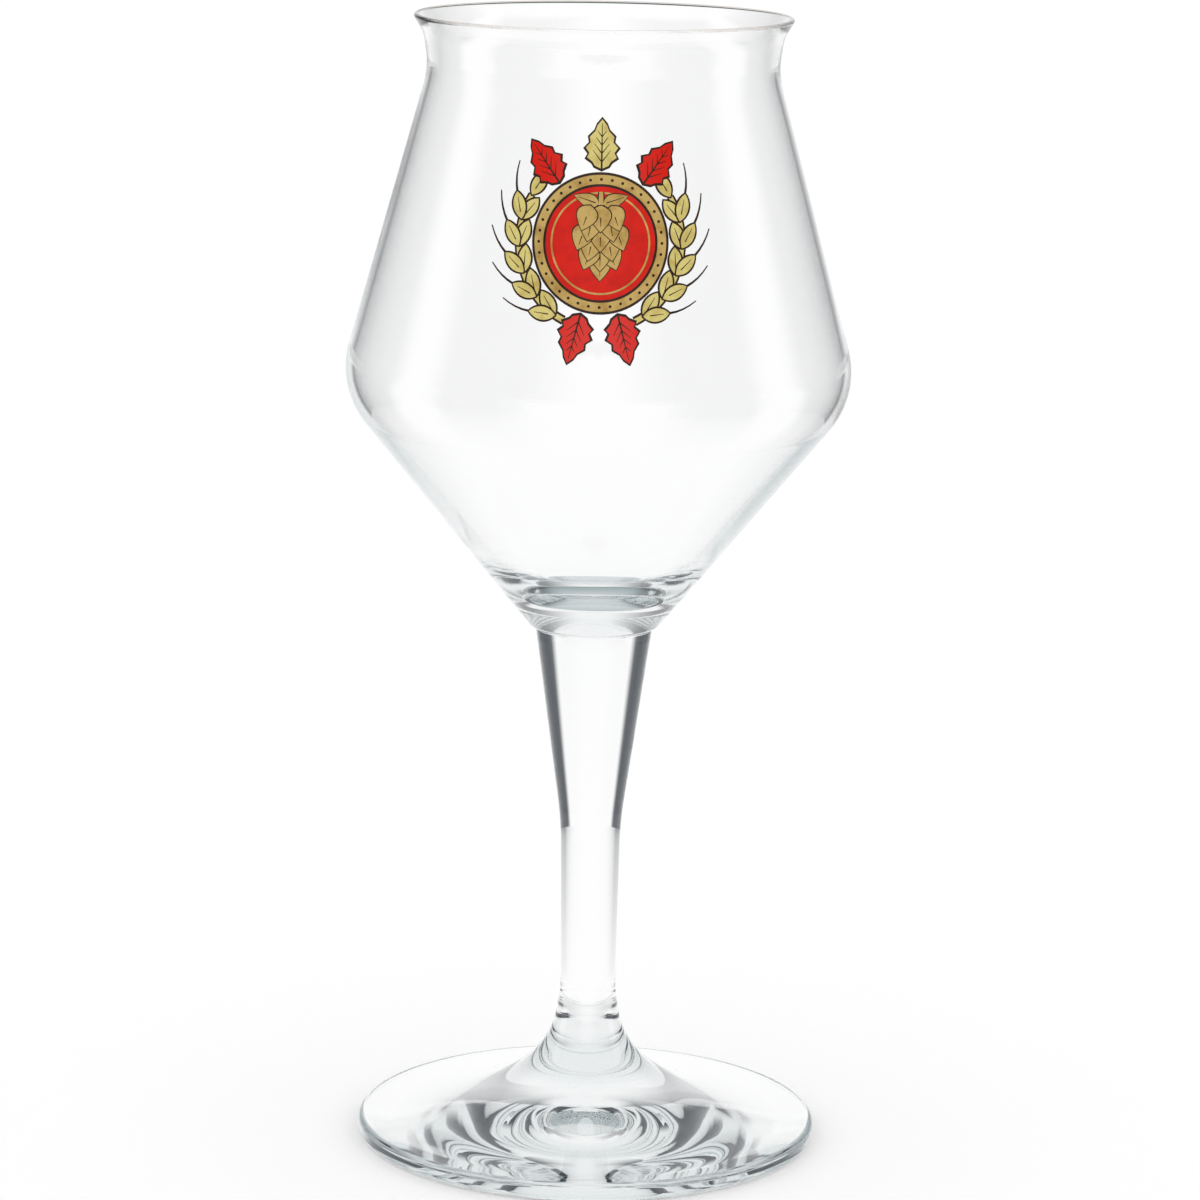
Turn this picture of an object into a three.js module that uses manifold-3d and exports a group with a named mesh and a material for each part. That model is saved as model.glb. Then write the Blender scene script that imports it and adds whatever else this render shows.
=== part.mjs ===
// A stemmed beer tasting glass: a foot, a stem and a blown bowl of clear glass, fused hot end to end,
// with a fired enamel emblem of hops and barley on the front of the bowl.
// Millimetres, +Z up. The origin is on the table under the middle of the foot. The emblem faces -Y.
import * as THREE from "three";
import Module from "manifold-3d";
import { TessellateModifier } from "three/addons/modifiers/TessellateModifier.js";
import { mergeVertices } from "three/addons/utils/BufferGeometryUtils.js";

// Foot: a round plate that rises to a boss. It stands on a flat ring and is hollowed like a bell under the boss.
const footRadius = 44;
const footEdgeHeight = 3.5;
const footEdgeRounding = 1.2;
const restRingWidth = 5;
const puntDepth = 4; // the hollow under the boss
const puntRadius = 18; // where that hollow has lost about two thirds of its depth
const bossHeight = 24;
const bossSpread = 2.2; // how far the boss widens over its first drop
const bossDrop = 13.8;
const dishRun = 16; // how far in from the edge the plate stays nearly flat
const dishRise = 1;

// Stem: a drawn rod with a small flare on the boss and a taper that widens up to the bowl.
const stemLength = 75.35;
const stemFootRadius = 6;
const stemWaistRadius = 5.25;
const stemWaistHeight = 3.4;
const stemWaistRounding = 30;
const stemTaperRadius = 5.8;
const stemTaperHeight = 38;
const stemTaperRounding = 68;
const stemTopRadius = 11.1;

// Bowl: two cones that meet in a rounded shoulder, a drawn-in neck and a flared lip. Heights are from the stem.
const bowlHeight = 115.65;
const baseRadius = 12.35;
const baseHeight = 0.8;
const baseRounding = 2;
const shoulderRadius = 49.1; // where the two cones would cross; the rounding takes it to about 47.5
const shoulderHeight = 46.05;
const shoulderRounding = 16;
const neckRadius = 32.45;
const neckDrop = 10; // below the rim
const neckRounding = 16;
const flareAngle = THREE.MathUtils.degToRad(31);
const flareLength = 3.4;
const flareRounding = 6;
const rimRadius = 35.2;

// Bowl walls
const rimWall = 0.95;
const neckWall = 1.05;
const shoulderWall = 1.4;
const lowerWall = 3.2; // at the base; it thins evenly up to the shoulder
const floorThickness = 8;
const floorRounding = 22;

// Enamel emblem, drawn flat: x runs round the bowl, y runs up it.
const emblemLift = 2.5; // middle of the roundel above the middle of the upper cone
const enamelThickness = 0.15;
const enamelSeat = 0.05; // enamel to bowl
const enamelClearance = 0.1; // colour field to its line, and line to the next field
const lineWidth = 0.45;
const fieldRadius = 9.8;
const ringWidth = 1.5;
const hopLength = 13;
const hopWidth = 8.4;
const leafLength = 8.6;
const leafWidth = 5.2;
const topLeafFan = THREE.MathUtils.degToRad(36);
const lowLeafFan = THREE.MathUtils.degToRad(15);
const wreathOffset = 3; // barley stalk outside the roundel
const wreathStart = THREE.MathUtils.degToRad(-58);
const stalkWidth = 0.7;
const grainPairs = 5;
const grainPitch = 4.7;
const grainLength = 4.8;
const grainWidth = 2.2;
const grainSplay = THREE.MathUtils.degToRad(26);

// Fineness of the facets
const turnSegments = 52;
const arcStep = THREE.MathUtils.degToRad(12);
const dishSteps = 9;
const hollowSteps = 12;
const outlineSteps = 4;
const fieldSteps = 36;
const enamelEdge = 3; // longest edge of an enamel facet, short enough to follow the bowl

const wasm = await Module();
wasm.setup();

const clearGlass = new THREE.MeshStandardMaterial({
  color: 0xeef3f2,
  roughness: 0.02,
  metalness: 0,
  transparent: true,
  opacity: 0.3,
});

function enamel(color) {
  return new THREE.MeshStandardMaterial({ color, roughness: 0.25, metalness: 0 });
}
const redEnamel = enamel(0xd31602);
const goldEnamel = enamel(0xc1a35f);
const strawEnamel = enamel(0xd4c679);
const darkEnamel = enamel(0x362419);

// A path through corners, each rounded by its own radius as far as the sides beside it leave room.
function roundedPath(corners) {
  const path = [corners[0].at];
  for (let i = 1; i < corners.length - 1; i++) {
    const { at, round } = corners[i];
    const back = corners[i - 1].at.clone().sub(at);
    const ahead = corners[i + 1].at.clone().sub(at);
    const backRoom = back.length() * (i === 1 ? 1 : 0.5);
    const aheadRoom = ahead.length() * (i === corners.length - 2 ? 1 : 0.5);
    const sense = Math.sign(ahead.cross(back)) || 1;
    const turn = Math.PI - Math.acos(back.dot(ahead) / back.length() / ahead.length());
    const tangent = Math.min(round * Math.tan(turn / 2), backRoom, aheadRoom);
    const radius = tangent / Math.tan(turn / 2);
    const start = at.clone().add(back.setLength(tangent));
    const centre = start.clone().add(new THREE.Vector2(back.y, -back.x).setLength(radius * sense));
    const steps = Math.max(1, Math.ceil(turn / arcStep));
    for (let k = 0; k <= steps; k++) {
      path.push(start.clone().rotateAround(centre, (sense * turn * k) / steps));
    }
  }
  path.push(corners.at(-1).at);
  return path;
}

function corner(radius, height, round = 0) {
  return { at: new THREE.Vector2(radius, height), round };
}

// The point a wall's thickness inside a corner of the outer profile.
function inset(before, at, after, wall) {
  const lower = at.clone().sub(before).normalize();
  const upper = after.clone().sub(at).normalize();
  const outward = lower.clone().add(upper).normalize();
  outward.set(outward.y, -outward.x);
  const miter = wall / outward.dot(new THREE.Vector2(lower.y, -lower.x));
  return at.clone().addScaledVector(outward, -miter);
}

// A turned solid from a profile that starts and ends on the axis.
function turned(name, profile) {
  const geometry = new THREE.LatheGeometry(profile, turnSegments).rotateX(Math.PI / 2);
  const mesh = new THREE.Mesh(geometry, clearGlass);
  mesh.name = name;
  return mesh;
}

function foot() {
  const rounding = Math.min(footEdgeRounding, footEdgeHeight / 2);
  const plateRadius = footRadius - rounding;
  const hollowRadius = plateRadius - restRingWidth;
  const bell = (radius) => Math.exp(-((radius / puntRadius) ** 2));
  const profile = [];
  for (let k = 0; k < hollowSteps; k++) {
    const radius = (hollowRadius * k) / hollowSteps;
    const share = (bell(radius) - bell(hollowRadius)) / (1 - bell(hollowRadius));
    profile.push(new THREE.Vector2(radius, puntDepth * share));
  }
  profile.push(new THREE.Vector2(hollowRadius, 0));
  const edge = roundedPath([
    corner(plateRadius, 0),
    corner(footRadius, 0, rounding),
    corner(footRadius, footEdgeHeight, rounding),
    corner(plateRadius, footEdgeHeight),
  ]);
  profile.push(...edge.slice(1, -1));
  const dish = new THREE.CubicBezierCurve(
    new THREE.Vector2(plateRadius, footEdgeHeight),
    new THREE.Vector2(plateRadius - dishRun, footEdgeHeight + dishRise),
    new THREE.Vector2(stemFootRadius + bossSpread, bossHeight - bossDrop),
    new THREE.Vector2(stemFootRadius, bossHeight),
  );
  profile.push(...dish.getPoints(dishSteps).slice(1));
  profile.push(new THREE.Vector2(0, bossHeight));
  return turned("foot", profile);
}

function stem() {
  const side = roundedPath([
    corner(stemFootRadius, 0),
    corner(stemWaistRadius, stemWaistHeight, stemWaistRounding),
    corner(stemTaperRadius, stemTaperHeight, stemTaperRounding),
    corner(stemTopRadius, stemLength),
  ]);
  return turned("stem", [new THREE.Vector2(0, 0), ...side, new THREE.Vector2(0, stemLength)]);
}

// The corners of the bowl's outer profile, from the stem up to the outer edge of the rim.
const flareSide = new THREE.Vector2(Math.cos(flareAngle), -Math.sin(flareAngle));
const flareRise = new THREE.Vector2(Math.sin(flareAngle), Math.cos(flareAngle));
const rimCentre = new THREE.Vector2(rimRadius - rimWall / 2, bowlHeight - rimWall / 2);
const rimOuter = rimCentre.clone().addScaledVector(flareSide, rimWall / 2);
const rimInner = rimCentre.clone().addScaledVector(flareSide, -rimWall / 2);
const flareStart = rimOuter.clone().addScaledVector(flareRise, -flareLength);
const bowlOutside = [
  corner(stemTopRadius, 0),
  corner(baseRadius, baseHeight, baseRounding),
  corner(shoulderRadius, shoulderHeight, shoulderRounding),
  corner(neckRadius, bowlHeight - neckDrop, neckRounding),
  corner(flareStart.x, flareStart.y, flareRounding),
  { at: rimOuter, round: 0 },
];
const bowlSide = roundedPath(bowlOutside);

function bowl() {
  const [, base, shoulder, neck, flare] = bowlOutside.map((one) => one.at);
  const rimSteps = Math.ceil(Math.PI / 2 / arcStep);
  const rim = [];
  for (let k = 1; k < rimSteps; k++) {
    rim.push(rimOuter.clone().rotateAround(rimCentre, (Math.PI * k) / rimSteps));
  }
  const flareInner = inset(neck, flare, rimOuter, rimWall);
  const neckInner = inset(shoulder, neck, flare, neckWall);
  const shoulderInner = inset(base, shoulder, neck, shoulderWall);
  const lowerSlope = shoulder.clone().sub(base).normalize();
  const baseInner = base.clone().addScaledVector(new THREE.Vector2(-lowerSlope.y, lowerSlope.x), lowerWall);
  const floorShare = (floorThickness - baseInner.y) / (shoulderInner.y - baseInner.y);
  const floorEdge = baseInner.clone().lerp(shoulderInner, floorShare);
  const inside = roundedPath([
    { at: rimInner, round: 0 },
    { at: flareInner, round: flareRounding + rimWall },
    { at: neckInner, round: neckRounding + neckWall },
    { at: shoulderInner, round: shoulderRounding - shoulderWall },
    { at: floorEdge, round: floorRounding },
    corner(0, floorThickness),
  ]);
  return turned("bowl", [new THREE.Vector2(0, 0), ...bowlSide, ...rim, ...inside]);
}

// The bowl's outer radius at a height, read off the same profile that the bowl is turned from.
function bowlRadius(height) {
  const last = bowlSide.length - 1;
  const above = bowlSide.findIndex((point) => point.y > height);
  const upper = above < 0 ? last : Math.max(above, 1);
  const share = (height - bowlSide[upper - 1].y) / (bowlSide[upper].y - bowlSide[upper - 1].y);
  return THREE.MathUtils.lerp(bowlSide[upper - 1].x, bowlSide[upper].x, share);
}

function solidOf(geometry) {
  geometry.deleteAttribute("normal");
  geometry.deleteAttribute("uv");
  const merged = mergeVertices(geometry);
  const vertProperties = merged.attributes.position.array;
  const triVerts = new Uint32Array(merged.index.array);
  return new wasm.Manifold(new wasm.Mesh({ numProp: 3, vertProperties, triVerts }));
}

// Placed flat shapes joined into one sheet of the enamel's thickness, or into a cutter that reaches past it.
function sheet(placed, cutter = false) {
  const reach = cutter ? enamelThickness : 0;
  const depth = enamelThickness + 2 * reach;
  const settings = { depth, bevelEnabled: false, curveSegments: outlineSteps };
  return placed
    .map(({ shape, turn = 0, x = 0, y = 0 }) => {
      const geometry = new THREE.ExtrudeGeometry(shape, settings);
      return solidOf(geometry.rotateZ(turn).translate(x, y, -reach));
    })
    .reduce((whole, next) => whole.add(next));
}

const emblemMiddle = (shoulderHeight + bowlHeight - neckDrop) / 2 + emblemLift;

// A flat sheet laid on the bowl: its facets are cut short, then each point is carried round to the bowl's side.
function laidOnBowl(name, material, flat) {
  const cut = flat.getMesh();
  const flatGeometry = new THREE.BufferGeometry();
  flatGeometry.setAttribute("position", new THREE.BufferAttribute(cut.vertProperties, cut.numProp));
  flatGeometry.setIndex(new THREE.BufferAttribute(cut.triVerts, 1));
  const passes = 20;
  const geometry = new TessellateModifier(enamelEdge, passes).modify(flatGeometry);
  const points = geometry.getAttribute("position");
  for (let i = 0; i < points.count; i++) {
    const height = emblemMiddle + points.getY(i);
    const side = bowlRadius(height);
    const angle = points.getX(i) / side;
    const radius = side + enamelSeat + points.getZ(i);
    points.setXYZ(i, radius * Math.sin(angle), -radius * Math.cos(angle), height);
  }
  const mesh = new THREE.Mesh(geometry, material);
  mesh.name = name;
  return mesh;
}

function disc(radius) {
  const points = [];
  for (let k = 0; k < fieldSteps; k++) {
    const angle = (2 * Math.PI * k) / fieldSteps;
    points.push(new THREE.Vector2(radius * Math.cos(angle), radius * Math.sin(angle)));
  }
  return new THREE.Shape(points);
}

// A pointed oval from the origin along x, as a barley grain has, grown all round for its line.
function grain(length, width, grow) {
  const tall = width + 2 * grow;
  const shape = new THREE.Shape();
  shape.moveTo(-grow, 0);
  shape.quadraticCurveTo(length / 2, -tall, length + grow, 0);
  shape.quadraticCurveTo(length / 2, tall, -grow, 0);
  return shape;
}

// A leaf from the origin along x, widest near its stalk.
function leaf(length, width, grow) {
  const half = width / 2 + grow;
  const start = -grow;
  const end = length + grow;
  const belly = THREE.MathUtils.lerp(start, end, 0.2);
  const taper = THREE.MathUtils.lerp(start, end, 0.6);
  const shape = new THREE.Shape();
  shape.moveTo(start, 0);
  shape.bezierCurveTo(belly, -half * 1.6, taper, -half, end, 0);
  shape.bezierCurveTo(taper, half, belly, half * 1.6, start, 0);
  return shape;
}

const ringRadius = fieldRadius + lineWidth + enamelClearance + ringWidth;
const leafRoot = ringRadius + 2 * lineWidth + enamelClearance;
const wreathRadius = ringRadius + wreathOffset;

function leafAt(angle) {
  return (grow) => [
    {
      shape: leaf(leafLength, leafWidth, grow),
      turn: angle,
      x: leafRoot * Math.cos(angle),
      y: leafRoot * Math.sin(angle),
    },
  ];
}

// One ear of barley: pairs of grains on a curved stalk and one grain at its tip. side is 1 on the right, -1 on the left.
function ear(side) {
  const mirrored = (angle) => (side > 0 ? angle : Math.PI - angle);
  return (grow) => {
    const placed = [];
    const step = grainPitch / wreathRadius;
    const end = wreathStart + grainPairs * step;
    for (let i = 0; i <= grainPairs; i++) {
      const at = wreathStart + i * step;
      for (const splay of i < grainPairs ? [-grainSplay, grainSplay] : [0]) {
        placed.push({
          shape: grain(grainLength, grainWidth, grow),
          turn: mirrored(at + Math.PI / 2 + splay),
          x: side * wreathRadius * Math.cos(at),
          y: wreathRadius * Math.sin(at),
        });
      }
    }
    const half = stalkWidth / 2 + grow;
    const spare = (stalkWidth + grow) / wreathRadius;
    const first = mirrored(side > 0 ? wreathStart - spare : end + spare);
    const last = mirrored(side > 0 ? end + spare : wreathStart - spare);
    const stalk = new THREE.Shape();
    stalk.absarc(0, 0, wreathRadius + half, first, last, false);
    stalk.absarc(0, 0, wreathRadius - half, last, first, true);
    placed.push({ shape: stalk });
    return placed;
  };
}

// The hop cone in the middle of the roundel, hanging point down.
function hop(grow) {
  return [{ shape: leaf(hopLength, hopWidth, grow), turn: -Math.PI / 2, y: hopLength / 2 }];
}

// The emblem's fields, each lying over those after it. Every field has its own dark line round it.
const upright = Math.PI / 2;
const fields = [
  ["enamel_hop", goldEnamel, hop],
  ["enamel_roundel", redEnamel, (grow) => [{ shape: disc(fieldRadius + grow) }]],
  ["enamel_ring", goldEnamel, (grow) => [{ shape: disc(ringRadius + grow) }]],
  ["enamel_top_leaf", strawEnamel, leafAt(upright)],
  ["enamel_top_leaf_left", redEnamel, leafAt(upright + topLeafFan)],
  ["enamel_top_leaf_right", redEnamel, leafAt(upright - topLeafFan)],
  ["enamel_low_leaf_left", redEnamel, leafAt(-upright - lowLeafFan)],
  ["enamel_low_leaf_right", redEnamel, leafAt(-upright + lowLeafFan)],
  ["enamel_barley_left", strawEnamel, ear(-1)],
  ["enamel_barley_right", strawEnamel, ear(1)],
];

function emblem() {
  const group = new THREE.Group();
  let covered = null;
  for (const [name, material, outline] of fields) {
    const open = (flat) => (covered ? flat.subtract(covered) : flat);
    const field = open(sheet(outline(0)));
    const line = open(sheet(outline(lineWidth)).subtract(sheet(outline(enamelClearance), true)));
    group.add(laidOnBowl(name, material, field));
    group.add(laidOnBowl(name + "_line", darkEnamel, line));
    const cover = sheet(outline(lineWidth + enamelClearance), true);
    covered = covered ? covered.add(cover) : cover;
  }
  return group;
}

// The glass as it is fused: foot, then stem on the boss, then bowl on the stem, then the emblem on the bowl.
const glass = new THREE.Group();
const stemPlace = new THREE.Group();
stemPlace.position.z = bossHeight;
const bowlPlace = new THREE.Group();
bowlPlace.position.z = stemLength;
bowlPlace.add(bowl(), emblem());
stemPlace.add(stem(), bowlPlace);
glass.add(foot(), stemPlace);

export default glass;
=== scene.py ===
import math

import bpy
from mathutils import Matrix, Vector
from mathutils.geometry import delaunay_2d_cdt


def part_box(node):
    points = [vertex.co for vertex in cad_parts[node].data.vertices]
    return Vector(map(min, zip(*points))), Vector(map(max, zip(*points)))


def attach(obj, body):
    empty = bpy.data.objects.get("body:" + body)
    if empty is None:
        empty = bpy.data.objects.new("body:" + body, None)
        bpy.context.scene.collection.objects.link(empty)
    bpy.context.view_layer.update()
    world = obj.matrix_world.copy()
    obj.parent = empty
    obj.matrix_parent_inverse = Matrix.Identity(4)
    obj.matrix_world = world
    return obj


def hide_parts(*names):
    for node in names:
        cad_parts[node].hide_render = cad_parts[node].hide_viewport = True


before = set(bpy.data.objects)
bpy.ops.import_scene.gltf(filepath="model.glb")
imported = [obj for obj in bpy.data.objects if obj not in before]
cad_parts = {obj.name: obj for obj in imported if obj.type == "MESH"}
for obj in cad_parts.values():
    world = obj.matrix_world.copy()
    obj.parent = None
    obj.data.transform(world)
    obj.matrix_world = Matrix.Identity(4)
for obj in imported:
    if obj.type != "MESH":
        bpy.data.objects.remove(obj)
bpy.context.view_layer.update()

MM = 0.001

# Foot
# The round plate that the glass stands on, pressed in clear glass with a raised boss in its middle.
# It stands on a flat ring ground under its edge and is hollowed like a bell under the boss.
foot_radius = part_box("foot")[1][0] / MM
boss_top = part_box("foot")[1][2] / MM
foot_edge_height = 3.5
foot_edge_rounding = 1.2
rest_ring_width = 5.0
punt_depth = 4.0
punt_radius = 18.0
boss_radius = 6.0
boss_spread = 2.2
boss_drop = 13.8
dish_run = 16.0
dish_rise = 1.0
hollow_steps = 100
boss_steps = 70
edge_arc_step = 6.0  # degrees
turn_steps = 192
sharp_angle = math.radians(40)
joint_slit = 0.01
same_point = 0.0001  # points nearer than this are one
glass_ior = 1.52
glass_tint = (0.895, 0.912, 0.915, 1.0)
white = (1.0, 1.0, 1.0, 1.0)
ripple_scale = 45.0
ripple_detail = 1.0
ripple_left = 0.1  # share of the ripple where it has died away
foot_ripple = 0.2
foot_depth_tint = 35.0
foot_calm_start = 10.0


def rounded_path(corners, step_degrees=2.0):
    """Points through corners of (radius, height, rounding).

    Each corner is rounded as far as the sides beside it leave room.
    """
    points = [Vector(corner[:2]) for corner in corners]
    path = [points[0]]
    for i in range(1, len(points) - 1):
        back = points[i - 1] - points[i]
        ahead = points[i + 1] - points[i]
        turn = math.pi - back.angle(ahead)
        back_room = back.length * (1.0 if i == 1 else 0.5)
        ahead_room = ahead.length * (1.0 if i == len(points) - 2 else 0.5)
        tangent = min(corners[i][2] * math.tan(turn / 2), back_room, ahead_room)
        sense = 1.0 if ahead.x * back.y - ahead.y * back.x > 0 else -1.0
        start = points[i] + back.normalized() * tangent
        radius = tangent / math.tan(turn / 2)
        centre = start + Vector((back.y, -back.x)).normalized() * radius * sense
        steps = max(1, math.ceil(math.degrees(turn) / step_degrees))
        for k in range(steps + 1):
            spin = Matrix.Rotation(sense * turn * k / steps, 2)
            point = centre + spin @ (start - centre)
            if (point - path[-1]).length > same_point:
                path.append(point)
    path.append(points[-1])
    return path


def bezier(start, pull_start, pull_end, end, steps):
    """Points of a cubic curve, with both ends."""
    points = []
    for k in range(steps + 1):
        t = k / steps
        s = 1.0 - t
        points.append(start * s**3 + pull_start * 3 * s * s * t + pull_end * 3 * s * t * t + end * t**3)
    return points


def turned_glass(name, profile, finished):
    """A closed mesh turned round the axis. finished gives the sides with another finish their material."""
    mesh = bpy.data.meshes.new(name)
    vertices = []
    rings = []
    for point in profile:
        if point.x < same_point:
            rings.append([len(vertices)])
            vertices.append((0.0, 0.0, point.y * MM))
            continue
        rings.append(list(range(len(vertices), len(vertices) + turn_steps)))
        for k in range(turn_steps):
            angle = 2 * math.pi * k / turn_steps
            vertices.append((point.x * math.cos(angle) * MM, point.x * math.sin(angle) * MM, point.y * MM))
    faces = []
    finish = []
    for i in range(len(rings) - 1):
        low, high = rings[i], rings[i + 1]
        for k in range(turn_steps):
            after = (k + 1) % turn_steps
            if len(low) == 1:
                faces.append((low[0], high[after], high[k]))
            elif len(high) == 1:
                faces.append((low[k], low[after], high[0]))
            else:
                faces.append((low[k], low[after], high[after], high[k]))
            finish.append(finished.get(i, 0))
    mesh.from_pydata(vertices, [], faces)
    mesh.polygons.foreach_set("material_index", finish)
    mesh.polygons.foreach_set("use_smooth", [True] * len(faces))
    mesh.set_sharp_from_angle(angle=sharp_angle)
    mesh.validate()
    piece = bpy.data.objects.new(name, mesh)
    bpy.context.scene.collection.objects.link(piece)
    return piece


def clear_glass(name, depth_tint, ripple, calm_below, calm_above):
    """Clear soda-lime glass, faintly tinted in depth, whose skin waves a little as hot glass leaves it.

    ripple is the height of the waves in millimetres. They die away from calm_below up to calm_above.
    """
    material = bpy.data.materials.new(name)
    material.use_nodes = True
    nodes = material.node_tree.nodes
    links = material.node_tree.links
    shader = nodes["Principled BSDF"]
    shader.inputs["Base Color"].default_value = white
    shader.inputs["Roughness"].default_value = 0.0
    shader.inputs["IOR"].default_value = glass_ior
    shader.inputs["Transmission Weight"].default_value = 1.0
    depth = nodes.new("ShaderNodeVolumeAbsorption")
    depth.inputs["Color"].default_value = glass_tint
    depth.inputs["Density"].default_value = depth_tint
    links.new(depth.outputs["Volume"], nodes["Material Output"].inputs["Volume"])
    place = nodes.new("ShaderNodeTexCoord")
    waves = nodes.new("ShaderNodeTexNoise")
    waves.inputs["Scale"].default_value = ripple_scale
    waves.inputs["Detail"].default_value = ripple_detail
    links.new(place.outputs["Object"], waves.inputs["Vector"])
    spot = nodes.new("ShaderNodeSeparateXYZ")
    links.new(place.outputs["Object"], spot.inputs["Vector"])
    calm = nodes.new("ShaderNodeMapRange")
    calm.interpolation_type = "SMOOTHSTEP"
    calm.inputs["From Min"].default_value = calm_above * MM
    calm.inputs["From Max"].default_value = calm_below * MM
    calm.inputs["To Min"].default_value = ripple_left
    links.new(spot.outputs["Z"], calm.inputs["Value"])
    swell = nodes.new("ShaderNodeMath")
    swell.operation = "MULTIPLY"
    links.new(waves.outputs["Fac"], swell.inputs[0])
    links.new(calm.outputs["Result"], swell.inputs[1])
    bump = nodes.new("ShaderNodeBump")
    bump.inputs["Strength"].default_value = 1.0
    bump.inputs["Distance"].default_value = ripple * MM
    links.new(swell.outputs["Value"], bump.inputs["Height"])
    links.new(bump.outputs["Normal"], shader.inputs["Normal"])
    return material


def fused_joint():
    """The face where two pieces have run together: nothing shows there, light goes straight on."""
    material = bpy.data.materials.new("fused_joint")
    material.use_nodes = True
    nodes = material.node_tree.nodes
    nodes["Principled BSDF"].inputs["Alpha"].default_value = 0.0
    return material


joint = fused_joint()


def finish_glass(piece, node, glass):
    """Glass and joint finish, riding on the one body, in place of the CAD node."""
    piece.data.materials.append(glass)
    piece.data.materials.append(joint)
    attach(piece, "root")
    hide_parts(node)


def bell(radius):
    return math.exp(-((radius / punt_radius) ** 2))


plate_radius = foot_radius - foot_edge_rounding
hollow_radius = plate_radius - rest_ring_width
foot_profile = []
for k in range(hollow_steps + 1):
    radius = hollow_radius * k / hollow_steps
    share = (bell(radius) - bell(hollow_radius)) / (1 - bell(hollow_radius))
    foot_profile.append(Vector((radius, punt_depth * share)))
foot_profile += rounded_path(
    [
        (plate_radius, 0.0, 0.0),
        (foot_radius, 0.0, foot_edge_rounding),
        (foot_radius, foot_edge_height, foot_edge_rounding),
        (plate_radius, foot_edge_height, 0.0),
    ],
    edge_arc_step,
)[1:-1]
foot_profile += bezier(
    Vector((plate_radius, foot_edge_height)),
    Vector((plate_radius - dish_run, foot_edge_height + dish_rise)),
    Vector((boss_radius + boss_spread, boss_top - boss_drop)),
    Vector((boss_radius, boss_top - joint_slit)),
    boss_steps,
)[1:]
foot_profile.append(Vector((0.0, boss_top - joint_slit)))
foot = turned_glass("foot_glass", foot_profile, {len(foot_profile) - 2: 1})
foot_glass = clear_glass("foot_clear", foot_depth_tint, foot_ripple, foot_calm_start, boss_top)
finish_glass(foot, "foot", foot_glass)

# Stem
# A rod of the same clear glass, drawn hot: flared a little where it is fused to the boss, slim and nearly
# straight for its lower half, then widening in an even taper up to the bowl.
stem_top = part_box("stem")[1][2] / MM
stem_top_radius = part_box("stem")[1][0] / MM
stem_waist_radius = 5.25
stem_waist_height = 3.4
stem_waist_rounding = 30.0
stem_taper_radius = 5.8
stem_taper_height = 38.0
stem_taper_rounding = 68.0
stem_arc_step = 0.5  # degrees
stem_ripple = 0.04
stem_depth_tint = 10.0
stem_profile = [Vector((0.0, boss_top + joint_slit))]
stem_profile += rounded_path(
    [
        (boss_radius, boss_top + joint_slit, 0.0),
        (stem_waist_radius, boss_top + stem_waist_height, stem_waist_rounding),
        (stem_taper_radius, boss_top + stem_taper_height, stem_taper_rounding),
        (stem_top_radius, stem_top - joint_slit, 0.0),
    ],
    stem_arc_step,
)
stem_profile.append(Vector((0.0, stem_top - joint_slit)))
stem = turned_glass("stem_glass", stem_profile, {0: 1, len(stem_profile) - 2: 1})
stem_glass = clear_glass("stem_clear", stem_depth_tint, stem_ripple, boss_top, stem_top)
finish_glass(stem, "stem", stem_glass)

# Bowl
# The cup, blown in a mould: two cones that meet in a rounded shoulder, a drawn-in neck and a thin lip that
# flares out and is rounded by fire. Its base is left thick and is fused to the top of the stem.
rim_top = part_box("bowl")[1][2] / MM
base_radius = 12.35
base_height = 0.8
base_rounding = 2.0
shoulder_radius = 49.03
shoulder_height = 46.05
shoulder_rounding = 16.0
neck_radius = 32.45
neck_drop = 10.0
neck_rounding = 16.0
flare_angle = math.radians(31.0)
flare_length = 3.4
flare_rounding = 6.0
rim_radius = 35.2
rim_wall = 0.95
neck_wall = 1.05
shoulder_wall = 1.4
lower_wall = 3.2
floor_thickness = 8.0
floor_rounding = 22.0
rim_steps = 24
bowl_ripple = 0.3
bowl_depth_tint = 35.0
# Painted shade: the inside half of the lip is darkened to draw the thin dark line along the rim, which is
# shade from light led round inside the glass.
lip_painted_shade = (0.52, 0.45, 0.40, 1.0)


def inset(before, at, after, wall):
    """The point a wall's thickness inside a corner of the outer profile."""
    lower = (at - before).normalized()
    upper = (after - at).normalized()
    along = (lower + upper).normalized()
    outward = Vector((along.y, -along.x))
    return at - outward * (wall / outward.dot(Vector((lower.y, -lower.x))))


def polished_lip(name, tint):
    """The edge of the lip, rounded by the flame: clear, or with a darker glass colour that is painted shade.
    """
    material = bpy.data.materials.new(name)
    material.use_nodes = True
    shader = material.node_tree.nodes["Principled BSDF"]
    shader.inputs["Base Color"].default_value = tint
    shader.inputs["Roughness"].default_value = 0.0
    shader.inputs["IOR"].default_value = glass_ior
    shader.inputs["Transmission Weight"].default_value = 1.0
    return material


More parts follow.
